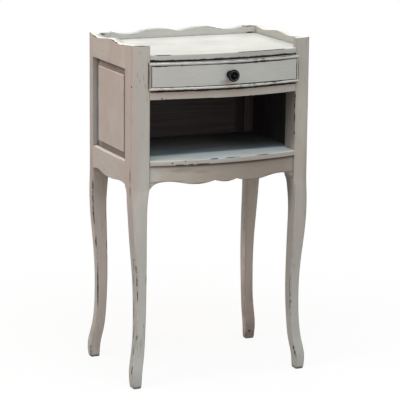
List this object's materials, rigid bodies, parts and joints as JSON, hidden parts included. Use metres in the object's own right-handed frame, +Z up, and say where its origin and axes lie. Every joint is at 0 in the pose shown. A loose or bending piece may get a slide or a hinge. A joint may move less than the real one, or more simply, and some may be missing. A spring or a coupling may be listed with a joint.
{
  "type": "bedside table",
  "caption": "Painted bow-fronted bedside table with a drawer, an open shelf niche, a scalloped gallery, fielded side panels and cabriole legs, in worn stone-grey paint.",
  "frame": {"origin": "On the floor under the middle of the outer box, knob and back feet included.", "axes": "+Z up, +X to the right as seen from the front, -Y to the front: the drawer slides out along -Y."},
  "size_m": [0.4, 0.3211, 0.72],
  "materials": {
    "painted_wood": "stone-grey chalk paint, rubbed through at the edges",
    "dark_wood": "dark stained boards inside the niche",
    "bare_wood": "unpainted softwood of the drawer and its runners",
    "black_metal": "black lacquered turned knob",
    "screw_steel": "plain steel screw"
  },
  "bodies": {
    "carcass": {"right_front_leg": "painted_wood", "left_front_leg": "painted_wood", "right_back_leg": "painted_wood", "left_back_leg": "painted_wood", "right_top_rail": "painted_wood", "left_top_rail": "painted_wood", "right_bottom_rail": "painted_wood", "left_bottom_rail": "painted_wood", "right_side_panel": "painted_wood", "left_side_panel": "painted_wood", "back_top_rail": "painted_wood", "back_bottom_rail": "painted_wood", "top_board": "painted_wood", "middle_rail": "painted_wood", "front_apron": "painted_wood", "shelf_nosing": "painted_wood", "back_panel": "dark_wood", "shelf_board": "dark_wood", "dust_board": "dark_wood", "right_shelf_bearer": "bare_wood", "left_shelf_bearer": "bare_wood", "right_drawer_runner": "bare_wood", "left_drawer_runner": "bare_wood", "right_drawer_guide": "bare_wood", "left_drawer_guide": "bare_wood", "right_drawer_kicker": "bare_wood", "left_drawer_kicker": "bare_wood"},
    "drawer": {"drawer_front": "painted_wood", "drawer_bead_top": "painted_wood", "drawer_bead_bottom": "painted_wood", "drawer_bead_right": "painted_wood", "drawer_bead_left": "painted_wood", "right_drawer_side": "bare_wood", "left_drawer_side": "bare_wood", "drawer_back": "bare_wood", "drawer_bottom": "bare_wood", "drawer_knob": "black_metal", "knob_screw": "screw_steel"}
  },
  "joints": [
    {"name": "drawer_slide", "type": "slide", "parent": "carcass", "child": "drawer", "axis": [0, -1, 0], "range_m": [0, 0.15]}
  ]
}
